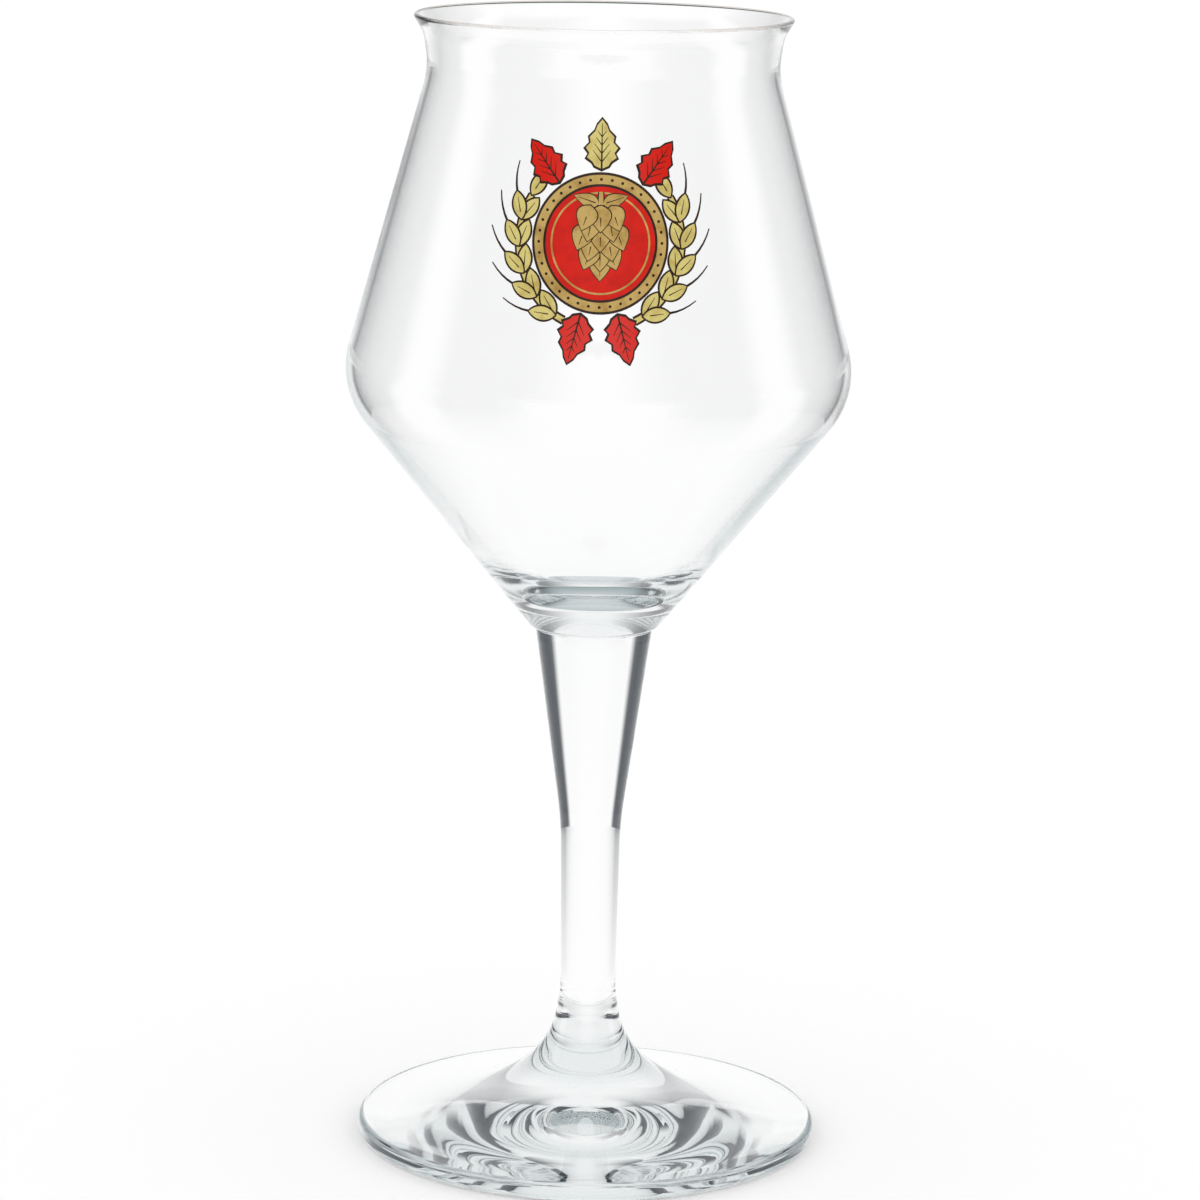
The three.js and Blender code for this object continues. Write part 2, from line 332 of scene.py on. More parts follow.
flare_side = Vector((math.cos(flare_angle), -math.sin(flare_angle)))
flare_rise = Vector((math.sin(flare_angle), math.cos(flare_angle)))
rim_centre = Vector((rim_radius - rim_wall / 2, rim_top - rim_wall / 2))
rim_outer = rim_centre + flare_side * (rim_wall / 2)
rim_inner = rim_centre - flare_side * (rim_wall / 2)
base = Vector((base_radius, stem_top + base_height))
shoulder = Vector((shoulder_radius, stem_top + shoulder_height))
neck = Vector((neck_radius, rim_top - neck_drop))
flare = rim_outer - flare_rise * flare_length
bowl_side = rounded_path(
    [
        (stem_top_radius, stem_top + joint_slit, 0.0),
        (*base, base_rounding),
        (*shoulder, shoulder_rounding),
        (*neck, neck_rounding),
        (*flare, flare_rounding),
        (*rim_outer, 0.0),
    ]
)
rim = []
for k in range(1, rim_steps):
    rim.append(rim_centre + Matrix.Rotation(math.pi * k / rim_steps, 2) @ (rim_outer - rim_centre))
shoulder_inner = inset(base, shoulder, neck, shoulder_wall)
lower_slope = (shoulder - base).normalized()
base_inner = base + Vector((-lower_slope.y, lower_slope.x)) * lower_wall
floor_top = stem_top + floor_thickness
floor_share = (floor_top - base_inner.y) / (shoulder_inner.y - base_inner.y)
floor_edge = base_inner.lerp(shoulder_inner, floor_share)
bowl_inside = rounded_path(
    [
        (*rim_inner, 0.0),
        (*inset(neck, flare, rim_outer, rim_wall), flare_rounding + rim_wall),
        (*inset(shoulder, neck, flare, neck_wall), neck_rounding + neck_wall),
        (*shoulder_inner, shoulder_rounding - shoulder_wall),
        (*floor_edge, floor_rounding),
        (0.0, floor_top, 0.0),
    ]
)
bowl_profile = [Vector((0.0, stem_top + joint_slit))] + bowl_side + rim + bowl_inside
lip_start = len(bowl_side)
lip_end = lip_start + len(rim) + 1
bowl_finishes = {0: 1}
# The outside half of the lip's round stays clear, and the inside half takes the painted shade.
for i in range(lip_start, lip_end):
    bowl_finishes[i] = 2 if i < (lip_start + lip_end) / 2 else 3
bowl = turned_glass("bowl_glass", bowl_profile, bowl_finishes)
bowl_calm = (stem_top + floor_thickness, stem_top + 2 * floor_thickness)
finish_glass(bowl, "bowl", clear_glass("bowl_clear", bowl_depth_tint, bowl_ripple, *bowl_calm))
bowl.data.materials.append(polished_lip("lip_outside", white))
# The lip's inside half carries painted shade: a darker glass colour for the rim's dark line.
bowl.data.materials.append(polished_lip("lip_inside_painted_shade", lip_painted_shade))

# Hop cone
# The gold hop in the middle of the emblem: overlapping bracts that hang from a short stalk with two leaves.
# Fired ceramic enamel, screen printed on the outside of the bowl, with brown-black lines round the bracts.
emblem_middle = (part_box("enamel_roundel")[0][2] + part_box("enamel_roundel")[1][2]) / 2 / MM
enamel_thickness = 0.15
enamel_seat = 0.05
line_width = 0.45
fine_line = 0.22
print_grid = 1.1
hop_length = (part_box("enamel_hop")[1][2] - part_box("enamel_hop")[0][2]) / MM
hop_width = 8.4
bract_rows = 6
bract_length = 4.6
bract_width = 3.7
bract_splay = 0.55  # radians, at the full half width
bract_spread = {1: 0.0, 2: 0.36, 3: 0.62}  # share of the half width, by bracts in the row
bract_crease = (0.45, 0.8)  # shares of the bract's length
cone_phase_top = 0.25  # the cone's width follows a sine, from here
cone_phase_span = 0.72  # and over this much of a half turn
hop_stalk_length = 2.4
hop_stalk_overlap = 0.6
hop_stalk_widths = (0.9, 0.7)
hop_leaf_length = 4.6
hop_leaf_width = 2.3
hop_leaf_lean = math.radians(72)
hop_leaf_root = (0.4, 0.3)
hop_leaf_rib = (0.6, 0.85 * hop_leaf_length)
leaf_belly = 0.2  # share of the length where the outline is pulled out most
leaf_bulge = 1.6
leaf_taper = 0.6  # share of the length where it is drawn in to the tip
line_end = 0.4  # share of a line's width left at its tip
gold = (0.533, 0.366, 0.115)
gold_shade = (0.36, 0.21, 0.045)
line_brown = (0.037, 0.018, 0.0097)
line_shade = (0.022, 0.010, 0.006)
enamel_specular = 0.22
cloud_scale = 420.0
cloud_detail = 5.0
cloud_range = (0.30, 0.56)
print_grain = 5200.0
enamel_roughness = (0.28, 0.46)
enamel_bump = 0.25
enamel_bump_height = 0.02
covered = []


def leaf_outline(length, width, grow=0.0, steps=10):
    """A pointed leaf from the origin along x, widest near its stalk, grown all round for its line."""
    half = width / 2 + grow
    start = Vector((-grow, 0.0))
    end = Vector((length + grow, 0.0))
    belly = start.lerp(end, leaf_belly)
    taper = start.lerp(end, leaf_taper)
    bulge = leaf_bulge * half
    lower = bezier(start, belly + Vector((0, -bulge)), taper + Vector((0, -half)), end, steps)
    upper = bezier(end, taper + Vector((0, half)), belly + Vector((0, bulge)), start, steps)
    return lower[:-1] + upper[:-1]


def placed(outline, angle, x=0.0, y=0.0):
    """An outline turned about the origin and moved to its place."""
    spin = Matrix.Rotation(angle, 2)
    return [spin @ point + Vector((x, y)) for point in outline]


def stroke(path, start_width, end_width):
    """The outline of a pen stroke along a path, narrowing evenly."""
    left = []
    right = []
    for i, point in enumerate(path):
        ahead = path[min(i + 1, len(path) - 1)]
        behind = path[max(i - 1, 0)]
        along = (ahead - behind).normalized()
        share = i / (len(path) - 1)
        half = (start_width + (end_width - start_width) * share) / 2
        side = Vector((-along.y, along.x)) * half
        left.append(point + side)
        right.append(point - side)
    return right + left[::-1]


def bowl_radius(height):
    """The bowl's outer radius at a height, read off the profile that the bowl is turned from."""
    for below, above in zip(bowl_side, bowl_side[1:]):
        if above.y >= height:
            return below.x + (above.x - below.x) * (height - below.y) / (above.y - below.y)
    return bowl_side[-1].x


def on_bowl(point, depth):
    """A point of the flat drawing carried round to the front of the bowl, depth above the glass."""
    height = emblem_middle + point.y
    side = bowl_radius(height)
    angle = point.x / side
    radius = side + enamel_seat + depth
    return (radius * math.sin(angle) * MM, -radius * math.cos(angle) * MM, height * MM)


def film(name, points, triangles):
    """A closed film of enamel: a front, a back and a wall round its edge.

    Corners that only touch stay apart.
    """
    leader = list(range(3 * len(triangles)))

    def lead(corner):
        while leader[corner] != corner:
            corner = leader[corner]
        return corner

    sides = {}
    for t, triangle in enumerate(triangles):
        for k in range(3):
            sides[triangle[k], triangle[(k + 1) % 3]] = (3 * t + k, 3 * t + (k + 1) % 3)
    for (a, b), (corner_a, corner_b) in sides.items():
        if (b, a) in sides:
            other_b, other_a = sides[b, a]
            leader[lead(corner_a)] = lead(other_a)
            leader[lead(corner_b)] = lead(other_b)
    order = sorted({lead(corner) for corner in leader})
    place = {corner: i for i, corner in enumerate(order)}
    count = len(order)
    flat = [points[triangles[corner // 3][corner % 3]] for corner in order]
    vertices = [on_bowl(point, enamel_thickness) for point in flat]
    vertices += [on_bowl(point, 0.0) for point in flat]
    faces = []
    for t in range(len(triangles)):
        front = [place[lead(3 * t + k)] for k in range(3)]
        faces.append(front)
        faces.append([count + i for i in reversed(front)])
    for (a, b), (corner_a, corner_b) in sides.items():
        if (b, a) not in sides:
            i = place[lead(corner_a)]
            j = place[lead(corner_b)]
            faces.append([count + i, count + j, j, i])
    mesh = bpy.data.meshes.new(name)
    mesh.from_pydata(vertices, [], faces)
    mesh.polygons.foreach_set("use_smooth", [True] * len(faces))
    mesh.set_sharp_from_angle(angle=sharp_angle)
    piece = bpy.data.objects.new(name, mesh)
    bpy.context.scene.collection.objects.link(piece)
    return piece


def enamel(name, colour, shade):
    """Fired enamel: a little cloudy in colour, with the fine grain of the screen and a soft gloss."""
    material = bpy.data.materials.new(name)
    material.use_nodes = True
    nodes = material.node_tree.nodes
    links = material.node_tree.links
    shader = nodes["Principled BSDF"]
    shader.inputs["Specular IOR Level"].default_value = enamel_specular
    place = nodes.new("ShaderNodeTexCoord")
    cloud = nodes.new("ShaderNodeTexNoise")
    cloud.inputs["Scale"].default_value = cloud_scale
    cloud.inputs["Detail"].default_value = cloud_detail
    tint = nodes.new("ShaderNodeValToRGB")
    tint.color_ramp.elements[0].position = cloud_range[0]
    tint.color_ramp.elements[0].color = (*shade, 1.0)
    tint.color_ramp.elements[1].position = cloud_range[1]
    tint.color_ramp.elements[1].color = (*colour, 1.0)
    grain = nodes.new("ShaderNodeTexNoise")
    grain.inputs["Scale"].default_value = print_grain
    gloss = nodes.new("ShaderNodeMapRange")
    gloss.inputs["To Min"].default_value = enamel_roughness[0]
    gloss.inputs["To Max"].default_value = enamel_roughness[1]
    bump = nodes.new("ShaderNodeBump")
    bump.inputs["Strength"].default_value = enamel_bump
    bump.inputs["Distance"].default_value = enamel_bump_height * MM
    links.new(place.outputs["Object"], cloud.inputs["Vector"])
    links.new(place.outputs["Object"], grain.inputs["Vector"])
    links.new(cloud.outputs["Fac"], tint.inputs["Fac"])
    links.new(tint.outputs["Color"], shader.inputs["Base Color"])
    links.new(grain.outputs["Fac"], gloss.inputs["Value"])
    links.new(gloss.outputs["Result"], shader.inputs["Roughness"])
    links.new(grain.outputs["Fac"], bump.inputs["Height"])
    links.new(bump.outputs["Normal"], shader.inputs["Normal"])
    return material


gold_enamel = enamel("gold_enamel", gold, gold_shade)
line_enamel = enamel("dark_enamel", line_brown, line_shade)


def print_on_bowl(layers, films):
    """Prints layers of (film, outlines), the first on top: each shows where nothing before it lies.

    films gives each film's CAD node, slot and enamel. What earlier prints cover is left bare.
    """
    owners = [None] * len(covered)
    outlines = list(covered)
    for name, shapes in layers:
        owners += [name] * len(shapes)
        outlines += shapes
    points = []
    loops = []
    for outline in outlines:
        loops.append(list(range(len(points), len(points) + len(outline))))
        points += outline
    low_x = min(point.x for point in points)
    low_y = min(point.y for point in points)
    across = math.ceil((max(point.x for point in points) - low_x) / print_grid)
    up = math.ceil((max(point.y for point in points) - low_y) / print_grid)
    for i in range(across + 1):
        for j in range(up + 1):
            points.append(Vector((low_x + i * print_grid, low_y + j * print_grid)))
    cut, _, triangles, _, _, under = delaunay_2d_cdt(points, [], loops, 0, 1e-5)
    for name, (node, slot, finish) in films.items():
        shown = []
        for triangle, faces in zip(triangles, under):
            if len(faces) > 0 and owners[min(faces)] == name:
                shown.append(triangle)
        piece = film(name, cut, shown)
        piece.data.materials.append(finish)
        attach(piece, "root")
        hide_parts(node)


hop_layers = []
for row in range(bract_rows):
    share = row / (bract_rows - 1)
    row_half = hop_width / 2 * math.sin(math.pi * (cone_phase_top + cone_phase_span * share))
    row_top = hop_length / 2 - share * (hop_length - bract_length)
    row_count = 1 if row == bract_rows - 1 else 3 - row % 2
    for k in range(row_count):
        aside = 0.0 if row_count == 1 else 2 * k / (row_count - 1) - 1
        aside *= bract_spread[row_count]
        hang = -math.pi / 2 + bract_splay * aside
        spot = (aside * row_half, row_top)
        along = Vector((math.cos(hang), math.sin(hang))) * bract_length
        crease_path = [Vector(spot) + along * place for place in bract_crease]
        crease = stroke(crease_path, fine_line, fine_line * line_end)
        bract = placed(leaf_outline(bract_length, bract_width), hang, *spot)
        bract_line = placed(leaf_outline(bract_length, bract_width, fine_line), hang, *spot)
        hop_layers += [("hop_lines", [crease]), ("hop_cone", [bract]), ("hop_lines", [bract_line])]
hop_stalk = [
    Vector((0.0, hop_length / 2 - hop_stalk_overlap)),
    Vector((0.0, hop_length / 2 + hop_stalk_length)),
]
hop_layers.append(("hop_cone", [stroke(hop_stalk, *hop_stalk_widths)]))
hop_shadow = [stroke(hop_stalk, *(width + 2 * fine_line for width in hop_stalk_widths))]
for side in (-1, 1):
    lean = math.pi / 2 - side * hop_leaf_lean
    rib = [Vector((place, 0.0)) for place in hop_leaf_rib]
    spot = (side * hop_leaf_root[0], hop_length / 2 + hop_leaf_root[1])
    hop_layers.append(("hop_lines", [placed(stroke(rib, fine_line, fine_line * line_end), lean, *spot)]))
    hop_layers.append(("hop_cone", [placed(leaf_outline(hop_leaf_length, hop_leaf_width), lean, *spot)]))
    hop_shadow.append(placed(leaf_outline(hop_leaf_length, hop_leaf_width, fine_line), lean, *spot))
hop_layers.append(("hop_lines", hop_shadow))
print_on_bowl(
    hop_layers,
    {
        "hop_cone": ("enamel_hop", "gold_enamel", gold_enamel),
        "hop_lines": ("enamel_hop_line", "dark_enamel", line_enamel),
    },
)
for name, shapes in hop_layers:
    covered += shapes

# Roundel and ring
# A red disc behind the hop, with a thin gold line inside its edge, and a beaded gold ring round it.
# Both are fields of fired enamel with a brown-black line between them and round the outside.
field_radius = (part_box("enamel_roundel")[1][2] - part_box("enamel_roundel")[0][2]) / 2 / MM
ring_radius = (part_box("enamel_ring")[1][2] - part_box("enamel_ring")[0][2]) / 2 / MM
inlay_radius = 8.9
inlay_width = 0.32
bead_count = 36
bead_radius = 0.27
bead_steps = 12
round_steps = 96
red = (0.651, 0.0085, 0.0012)
red_shade = (0.54, 0.006, 0.001)


def disc(radius, steps=round_steps, x=0.0, y=0.0):
    """A round outline."""
    outline = []
    for k in range(steps):
        angle = 2 * math.pi * k / steps
        outline.append(Vector((x + radius * math.cos(angle), y + radius * math.sin(angle))))
    return outline


ring_middle = (field_radius + line_width + ring_radius) / 2
beads = []
for k in range(bead_count):
    angle = 2 * math.pi * k / bead_count
    bead_middle = (ring_middle * math.cos(angle), ring_middle * math.sin(angle))
    beads.append(disc(bead_radius, bead_steps, *bead_middle))
print_on_bowl(
    [
        ("roundel_red", [disc(inlay_radius - inlay_width)]),
        ("ring_gold", [disc(inlay_radius)]),
        ("roundel_red", [disc(field_radius)]),
        ("roundel_line", [disc(field_radius + line_width)]),
        ("ring_lines", beads),
        ("ring_gold", [disc(ring_radius)]),
        ("ring_lines", [disc(ring_radius + line_width)]),
    ],
    {
        "roundel_red": ("enamel_roundel", "red_enamel", enamel("red_enamel", red, red_shade)),
        "roundel_line": ("enamel_roundel_line", "dark_enamel", line_enamel),
        "ring_gold": ("enamel_ring", "gold_enamel", gold_enamel),
        "ring_lines": ("enamel_ring_line", "dark_enamel", line_enamel),
    },
)
covered = [disc(ring_radius + line_width)]

# Leaves
# Three hop leaves above the ring and two below it, red but for the straw one at the top, with toothed edges.
# Each is a field of fired enamel with its veins and its edge drawn in brown black.
leaf_length = 8.6
leaf_width = 5.2
leaf_gap = 0.1
leaf_teeth = 5
tooth_depth = 0.13
midrib_reach = 0.92  # share of the leaf's length, as are the next two
midrib_widths = (1.6 * fine_line, 0.5 * fine_line)
vein_start = 0.14
vein_pitch = 0.17
vein_pairs = 4
vein_reach = 0.50  # share of the leaf's width, as is the next
vein_shorter = 0.085
vein_lean = math.radians(38)
top_leaf_fan = math.radians(36)
low_leaf_fan = math.radians(15)
upright = math.pi / 2
leaf_root = ring_radius + 2 * line_width + leaf_gap
straw = (0.658, 0.565, 0.191)
straw_shade = (0.50, 0.37, 0.10)
red_enamel = bpy.data.materials["red_enamel"]
straw_enamel = enamel("straw_enamel", straw, straw_shade)


def toothed_leaf(length, width, grow=0.0):
    """A leaf whose edges are cut into teeth that point to its tip."""
    outline = []
    for i, point in enumerate(leaf_outline(length, width, grow, 2 * leaf_teeth)):
        reach = 1.0 + tooth_depth if i % 2 else 1.0 - tooth_depth
        outline.append(Vector((point.x, point.y * reach)))
    return outline


def leaf_veins(length, width):
    """A midrib and pairs of side veins, as pen strokes."""
    veins = [stroke([Vector((0.0, 0.0)), Vector((length * midrib_reach, 0.0))], *midrib_widths)]
    for k in range(vein_pairs):
        start = Vector((length * (vein_start + vein_pitch * k), 0.0))
        reach = width * (vein_reach - vein_shorter * k)
        for side in (-1, 1):
            tip = start + Vector((math.cos(vein_lean), side * math.sin(vein_lean))) * reach
            veins.append(stroke([start, tip], fine_line, fine_line * line_end))
    return veins


leaves = {
    "top_leaf": (upright, "straw_enamel", straw_enamel),
    "top_leaf_left": (upright + top_leaf_fan, "red_enamel", red_enamel),
    "top_leaf_right": (upright - top_leaf_fan, "red_enamel", red_enamel),
    "low_leaf_left": (-upright - low_leaf_fan, "red_enamel", red_enamel),
    "low_leaf_right": (-upright + low_leaf_fan, "red_enamel", red_enamel),
}
for name, (angle, slot, finish) in leaves.items():
    spot = (leaf_root * math.cos(angle), leaf_root * math.sin(angle))
    veins = [placed(vein, angle, *spot) for vein in leaf_veins(leaf_length, leaf_width)]
    edge = placed(toothed_leaf(leaf_length, leaf_width, line_width), angle, *spot)
    print_on_bowl(
        [
            (name + "_lines", veins),
            (name, [placed(toothed_leaf(leaf_length, leaf_width), angle, *spot)]),
            (name + "_lines", [edge]),
        ],
        {
            name: ("enamel_" + name, slot, finish),
            name + "_lines": ("enamel_" + name + "_line", "dark_enamel", line_enamel),
        },
    )
    covered.append(edge)

# Barley
# An ear of barley up each side of the ring, as a wreath: pairs of grains on a bent stalk, one at its tip.
# The grains are straw enamel, each with a brown-black line, a crease and, on the outside, a long awn.
wreath_offset = 3.0
wreath_start = math.radians(-58)
stalk_width = 0.7
stalk_foot = 1.3
stalk_edge_foot = 1.2
stalk_edge = 1.6 * line_width
stalk_tail = 0.12  # radians that the stalk runs on below the first grains
stalk_steps = 24
grain_pairs = 5
grain_pitch = 4.7
grain_length = 4.8
grain_width = 2.3
grain_splay = math.radians(26)
grain_edge = 0.8 * line_width
grain_bulge = 4 / 3
grain_fore = 0.25
grain_aft = 0.72
grain_steps = 9
grain_crease = (0.25 * grain_length, 0.8 * grain_length)
crease_tip = 0.1
awn_length = 5.2
awn_bend = 0.09
awn_steps = 4
awn_widths = (0.42, 0.16)
wreath_radius = ring_radius + wreath_offset
wreath_step = grain_pitch / wreath_radius
wreath_end = wreath_start + grain_pairs * wreath_step


def grain_outline(grow=0.0):
    """A pointed oval from the origin along x, grown all round for its line."""
    start = Vector((-grow, 0.0))
    end = Vector((grain_length + grow, 0.0))
    tall = (grain_width / 2 + grow) * grain_bulge
    fore = start.lerp(end, grain_fore)
    aft = start.lerp(end, grain_aft)
    lower = bezier(start, fore + Vector((0, -tall)), aft + Vector((0, -tall)), end, grain_steps)
    upper = bezier(end, aft + Vector((0, tall)), fore + Vector((0, tall)), start, grain_steps)
    return lower[:-1] + upper[:-1]


def mirrored(outline, side):
    """An outline drawn for the right, flipped for the left."""
    if side > 0:
        return outline
    return [Vector((-point.x, point.y)) for point in reversed(outline)]


for side, name in ((-1, "barley_left"), (1, "barley_right")):
    ear_layers = []
    awns = []
    for i in range(grain_pairs + 1):
        at = wreath_start + i * wreath_step
        spot = (wreath_radius * math.cos(at), wreath_radius * math.sin(at))
        for splay in (-grain_splay, grain_splay) if i < grain_pairs else (0.0,):
            lean = at + upright + splay
            crease = stroke([Vector((place, 0.0)) for place in grain_crease], fine_line, crease_tip)
            ear_layers.append((name + "_lines", [mirrored(placed(crease, lean, *spot), side)]))
            ear_layers.append((name, [mirrored(placed(grain_outline(), lean, *spot), side)]))
            edge = placed(grain_outline(grain_edge), lean, *spot)
            ear_layers.append((name + "_lines", [mirrored(edge, side)]))
            if splay < 0.0:
                awn = [Vector((grain_length, 0.0))]
                for k in range(1, awn_steps + 1):
                    awn.append(Vector((grain_length + awn_length * k / awn_steps, awn_bend * k * k)))
                awns.append(mirrored(placed(stroke(awn, *awn_widths), lean, *spot), side))
    ear_layers.append((name + "_lines", awns))
    stalk = []
    for k in range(stalk_steps + 1):
        at = wreath_start - stalk_tail + (wreath_end - wreath_start + stalk_tail) * k / stalk_steps
        stalk.append(Vector((wreath_radius * math.cos(at), wreath_radius * math.sin(at))))
    ear_layers.append((name, [mirrored(stroke(stalk, stalk_width * stalk_foot, stalk_width), side)]))
    wide = stalk_width + stalk_edge
    ear_layers.append((name + "_lines", [mirrored(stroke(stalk, wide * stalk_edge_foot, wide), side)]))
    print_on_bowl(
        ear_layers,
        {
            name: ("enamel_" + name, "straw_enamel", straw_enamel),
            name + "_lines": ("enamel_" + name + "_line", "dark_enamel", line_enamel),
        },
    )

# Table and studio
# A plain white table, which takes the shadow. What shows in the glass is the studio round it: white paper
# over the table, a low screen that stands on it and, in a dim room, white panels and a bright ceiling.
table_radius = 0.5  # metres, as are all sizes of the studio
table_steps = 96
light_level = 1.03
room_tint = (0.042, 0.052, 0.066, 1.0)
paper_radius = 1.9
paper_drop = 0.0004
paper_full = 0.30  # sine of the way off the front or back, white up to here
paper_edge = 0.72  # and dark from here
paper_falloff = 2.2
paper_shade_start = 0.08
paper_shade_end = 0.40
paper_far_start = 0.45
paper_far_end = 0.50
level_start = 0.0  # degrees, as are all angles of the studio
level_end = -1.0
screen_radius = 0.34
screen_height = 0.1
cross_full = 10.0
cross_edge = 20.0
ceiling_start = 25.0
ceiling_end = 50.0
panel_edge = 40.0
panel_full = 4.0
side_panel_edge = 20.0
side_panel_full = 4.0
screen_panel_edge = 37.0
screen_panel_full = 28.0
hollow_depth = 2.5  # more than two faces of glass crossed
trapped_depth = 12.5  # mirrored more than twelve times
no_bounce = 0.5  # less than one bounce
smallest_reach = 0.001
light_bounces = 160


def stage_sheet(name, outline, drop):
    """A flat sheet just under the foot, which belongs to the studio."""
    mesh = bpy.data.meshes.new(name)
    mesh.from_pydata([(x, y, 0.0) for x, y in outline], [], [tuple(range(len(outline)))])
    sheet = bpy.data.objects.new(name, mesh)
    bpy.context.scene.collection.objects.link(sheet)
    sheet.location.z = -drop
    paint = bpy.data.materials.new(name)
    paint.use_nodes = True
    mesh.materials.append(paint)
    return sheet, paint.node_tree


def tree_math(tree, operation, first, second=0.0):
    """One sum on two numbers or sockets of a node tree."""
    node = tree.nodes.new("ShaderNodeMath")
    node.operation = operation
    for socket, value in zip(node.inputs, (first, second)):
        if isinstance(value, (int, float)):
            socket.default_value = value
        else:
            tree.links.new(value, socket)
    return node.outputs["Value"]


def fade(tree, value, start, end, smooth=True):
    """0 before start and 1 after end, even or smooth between them. start may be above end."""
    node = tree.nodes.new("ShaderNodeMapRange")
    node.interpolation_type = "SMOOTHSTEP" if smooth else "LINEAR"
    node.inputs["From Min"].default_value = start
    node.inputs["From Max"].default_value = end
    tree.links.new(value, node.inputs["Value"])
    return node.outputs["Result"]


def through_hollow(tree):
    """1 where light has crossed the hollow of the bowl or been passed on many times inside the glass."""
    path = tree.nodes.new("ShaderNodeLightPath")
    hollow = tree_math(tree, "GREATER_THAN", path.outputs["Transmission Depth"], hollow_depth)
    passed_on = tree_math(tree, "GREATER_THAN", path.outputs["Glossy Depth"], trapped_depth)
    return tree_math(tree, "MAXIMUM", hollow, passed_on)


def seen_through(tree, share):
    """share where light comes straight through glass, and 0 where it was mirrored on its way."""
    path = tree.nodes.new("ShaderNodeLightPath")
    unmirrored = tree_math(tree, "LESS_THAN", path.outputs["Glossy Depth"], no_bounce)
    straight = tree_math(tree, "MULTIPLY", unmirrored, path.outputs["Is Transmission Ray"])
    return tree_math(tree, "MULTIPLY", share, straight)


def panels(tree, x, y, reach, ahead_edge, ahead_full):
    """White panels: one in front and behind, with edges given in degrees, and a narrow one on each side."""
    share = 0.0
    for side, edge, full in ((x, ahead_edge, ahead_full), (y, side_panel_edge, side_panel_full)):
        aside = tree_math(tree, "DIVIDE", tree_math(tree, "ABSOLUTE", side), reach)
        share = tree_math(tree, "MAXIMUM", share, fade(tree, aside, sine(edge), sine(full)))
    return share


def mix_tint(tree, share, shader):
    """The room's own tint where share is 0 and white where it is 1, as the colour of a light."""
    mix = tree.nodes.new("ShaderNodeMix")
    mix.data_type = "RGBA"
    mix.inputs[6].default_value = room_tint
    mix.inputs[7].default_value = white
    tree.links.new(share, mix.inputs["Factor"])
    tree.links.new(mix.outputs[2], shader.inputs["Color"])


def round_edge(radius):
    """Points round the edge of a round sheet."""
    edge = []
    for k in range(table_steps):
        angle = 2 * math.pi * k / table_steps
        edge.append((radius * math.cos(angle), radius * math.sin(angle)))
    return edge


def sine(degrees):
    return math.sin(math.radians(degrees))


table, table_tree = stage_sheet("table", round_edge(table_radius), paper_drop / 2)
table.visible_glossy = False
table.visible_transmission = False
table_shader = table_tree.nodes["Principled BSDF"]
table_shader.inputs["Base Color"].default_value = white
table_shader.inputs["Roughness"].default_value = 1.0
table_shader.inputs["Specular IOR Level"].default_value = 0.0

paper, paper_tree = stage_sheet("paper", round_edge(paper_radius), paper_drop)
paper.visible_camera = False
paper.visible_diffuse = False
paper.visible_shadow = False
place = paper_tree.nodes.new("ShaderNodeTexCoord")
spot = paper_tree.nodes.new("ShaderNodeSeparateXYZ")
paper_tree.links.new(place.outputs["Object"], spot.inputs["Vector"])
reach = paper_tree.nodes.new("ShaderNodeVectorMath")
reach.operation = "LENGTH"
paper_tree.links.new(place.outputs["Object"], reach.inputs[0])
distance = tree_math(paper_tree, "MAXIMUM", reach.outputs["Value"], smallest_reach)
aside = tree_math(paper_tree, "DIVIDE", tree_math(paper_tree, "ABSOLUTE", spot.outputs["X"]), distance)
along = tree_math(paper_tree, "DIVIDE", tree_math(paper_tree, "ABSOLUTE", spot.outputs["Y"]), distance)
dark = tree_math(paper_tree, "POWER", fade(paper_tree, aside, paper_full, paper_edge, False), paper_falloff)
away = fade(paper_tree, distance, paper_shade_start, paper_shade_end, False)
dark = tree_math(paper_tree, "MULTIPLY", dark, away)
off_cross = fade(paper_tree, along, sine(cross_full), sine(cross_edge))
dark = tree_math(paper_tree, "MULTIPLY", dark, off_cross)
paper_white = tree_math(paper_tree, "SUBTRACT", 1.0, dark)
far_white = seen_through(paper_tree, fade(paper_tree, distance, paper_far_start, paper_far_end))
paper_white = tree_math(paper_tree, "MAXIMUM", paper_white, far_white)
paper_white = tree_math(paper_tree, "MAXIMUM", paper_white, through_hollow(paper_tree))
paper_light = paper_tree.nodes.new("ShaderNodeEmission")
mix_tint(paper_tree, paper_white, paper_light)
paper_tree.links.new(paper_light.outputs["Emission"], paper_tree.nodes["Material Output"].inputs["Surface"])

screen_edge = round_edge(screen_radius)
screen_points = [(x, y, 0.0) for x, y in screen_edge] + [(x, y, screen_height) for x, y in screen_edge]
screen_faces = []
for k in range(table_steps):
    after = (k + 1) % table_steps
    screen_faces.append((k, after, table_steps + after, table_steps + k))
screen_mesh = bpy.data.meshes.new("screen")
screen_mesh.from_pydata(screen_points, [], screen_faces)
screen_paint = bpy.data.materials.new("screen")
screen_paint.use_nodes = True
screen_mesh.materials.append(screen_paint)
screen = bpy.data.objects.new("screen", screen_mesh)
bpy.context.scene.collection.objects.link(screen)
screen.visible_camera = False
screen.visible_diffuse = False
screen.visible_glossy = False
screen.visible_shadow = False
screen_tree = screen_paint.node_tree
place = screen_tree.nodes.new("ShaderNodeTexCoord")
spot = screen_tree.nodes.new("ShaderNodeSeparateXYZ")
screen_tree.links.new(place.outputs["Object"], spot.inputs["Vector"])
screen_panels = (screen_radius, screen_panel_edge, screen_panel_full)
screen_white = panels(screen_tree, spot.outputs["X"], spot.outputs["Y"], *screen_panels)
screen_white = tree_math(screen_tree, "MAXIMUM", screen_white, through_hollow(screen_tree))
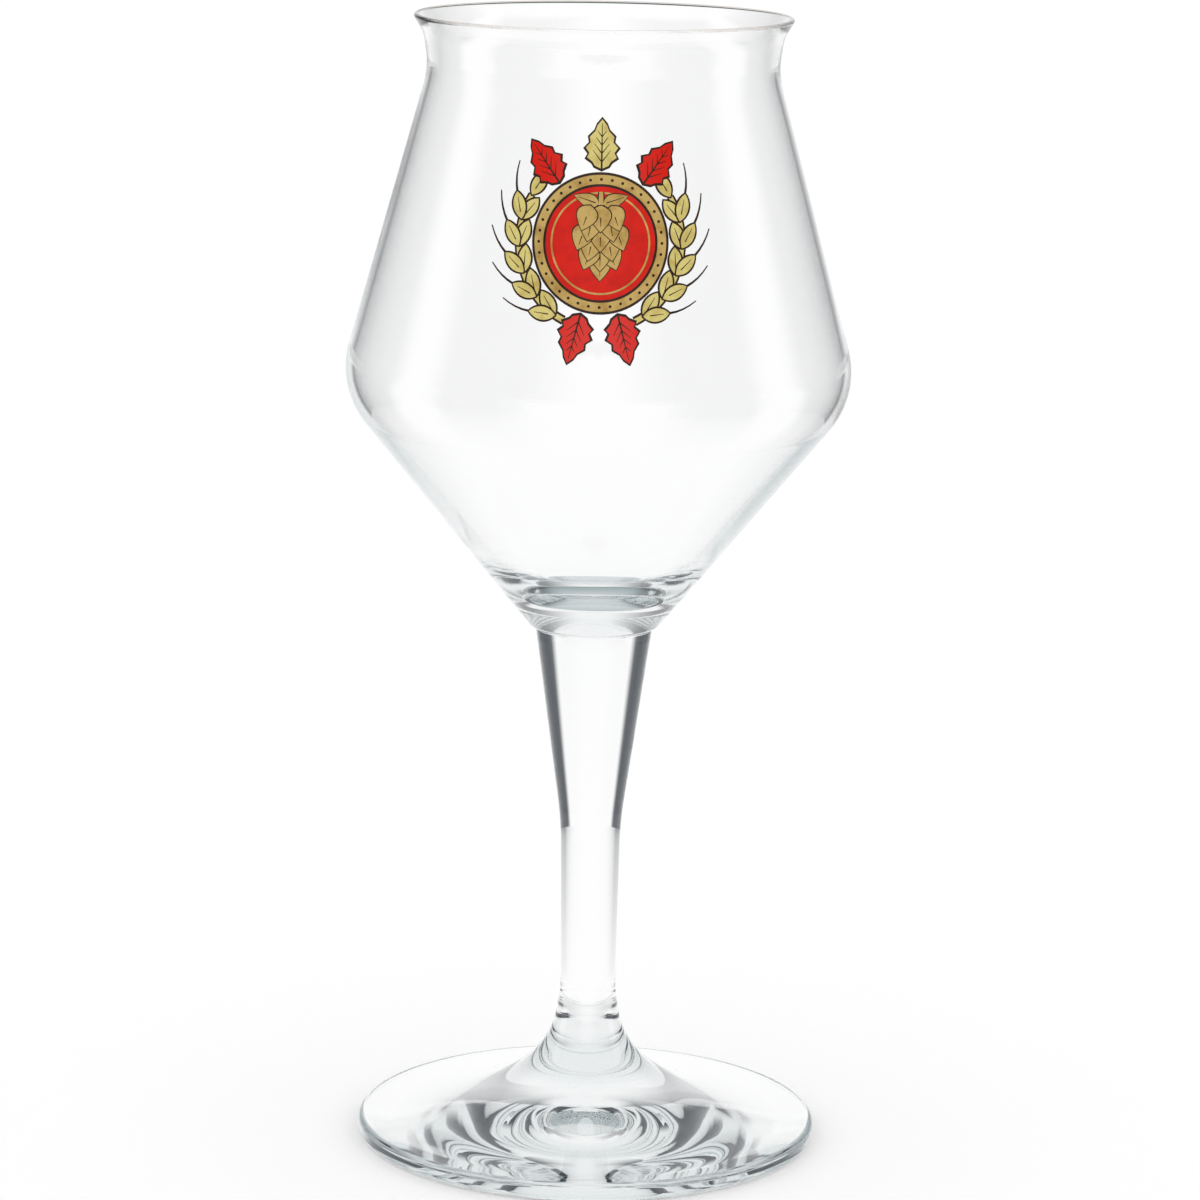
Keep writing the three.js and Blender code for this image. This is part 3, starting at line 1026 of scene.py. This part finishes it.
screen_light = screen_tree.nodes.new("ShaderNodeEmission")
mix_tint(screen_tree, screen_white, screen_light)
screen_out = screen_tree.nodes["Material Output"]
screen_tree.links.new(screen_light.outputs["Emission"], screen_out.inputs["Surface"])

world = bpy.data.worlds.new("studio")
bpy.context.scene.world = world
world.use_nodes = True
studio = world.node_tree
direction = studio.nodes.new("ShaderNodeTexCoord")
parts = studio.nodes.new("ShaderNodeSeparateXYZ")
studio.links.new(direction.outputs["Generated"], parts.inputs["Vector"])
rise = parts.outputs["Z"]
rise_squared = tree_math(studio, "MULTIPLY", rise, rise)
level = tree_math(studio, "SQRT", tree_math(studio, "SUBTRACT", 1.0, rise_squared))
level = tree_math(studio, "MAXIMUM", level, smallest_reach)
ceiling = fade(studio, rise, sine(ceiling_start), sine(ceiling_end))
room_white = tree_math(studio, "MAXIMUM", through_hollow(studio), ceiling)
room_panels = panels(studio, parts.outputs["X"], parts.outputs["Y"], level, panel_edge, panel_full)
room_white = tree_math(studio, "MAXIMUM", room_white, room_panels)
level_white = seen_through(studio, fade(studio, rise, sine(level_start), sine(level_end)))
room_white = tree_math(studio, "MAXIMUM", room_white, level_white)
room = studio.nodes.new("ShaderNodeBackground")
mix_tint(studio, room_white, room)
light = studio.nodes["Background"]
light.inputs["Color"].default_value = white
light.inputs["Strength"].default_value = light_level
path = studio.nodes.new("ShaderNodeLightPath")
shown = tree_math(studio, "MAXIMUM", path.outputs["Is Glossy Ray"], path.outputs["Is Transmission Ray"])
undiffused = tree_math(studio, "LESS_THAN", path.outputs["Diffuse Depth"], no_bounce)
seen_in_glass = tree_math(studio, "MULTIPLY", shown, undiffused)
mix = studio.nodes.new("ShaderNodeMixShader")
studio.links.new(seen_in_glass, mix.inputs["Fac"])
studio.links.new(light.outputs["Background"], mix.inputs[1])
studio.links.new(room.outputs["Background"], mix.inputs[2])
studio.links.new(mix.outputs["Shader"], studio.nodes["World Output"].inputs["Surface"])

# Camera
# A long lens a little above the rim, looking down at the glass from its front, rolled by a degree.
camera_distance = 854.0
camera_height = 281.8
camera_side = 1.05
camera_pitch = math.radians(11.72)
camera_roll = math.radians(1.0)
focal_pixels = 4602.2
frame_pixels = 1200
sensor_width = 36.0
camera = bpy.data.objects.new("camera", bpy.data.cameras.new("camera"))
bpy.context.scene.collection.objects.link(camera)
camera.data.sensor_width = sensor_width
camera.data.lens = focal_pixels / frame_pixels * sensor_width
camera.location = (camera_side * MM, -camera_distance * MM, camera_height * MM)
tilt = Matrix.Rotation(math.pi / 2 - camera_pitch, 3, "X") @ Matrix.Rotation(camera_roll, 3, "Z")
camera.rotation_euler = tilt.to_euler()
bpy.context.scene.camera = camera

scene = bpy.context.scene
scene.view_settings.view_transform = "Standard"
scene.cycles.max_bounces = light_bounces
scene.cycles.transmission_bounces = light_bounces
scene.cycles.transparent_max_bounces = light_bounces
scene.cycles.glossy_bounces = light_bounces
scene.cycles.use_denoising = True
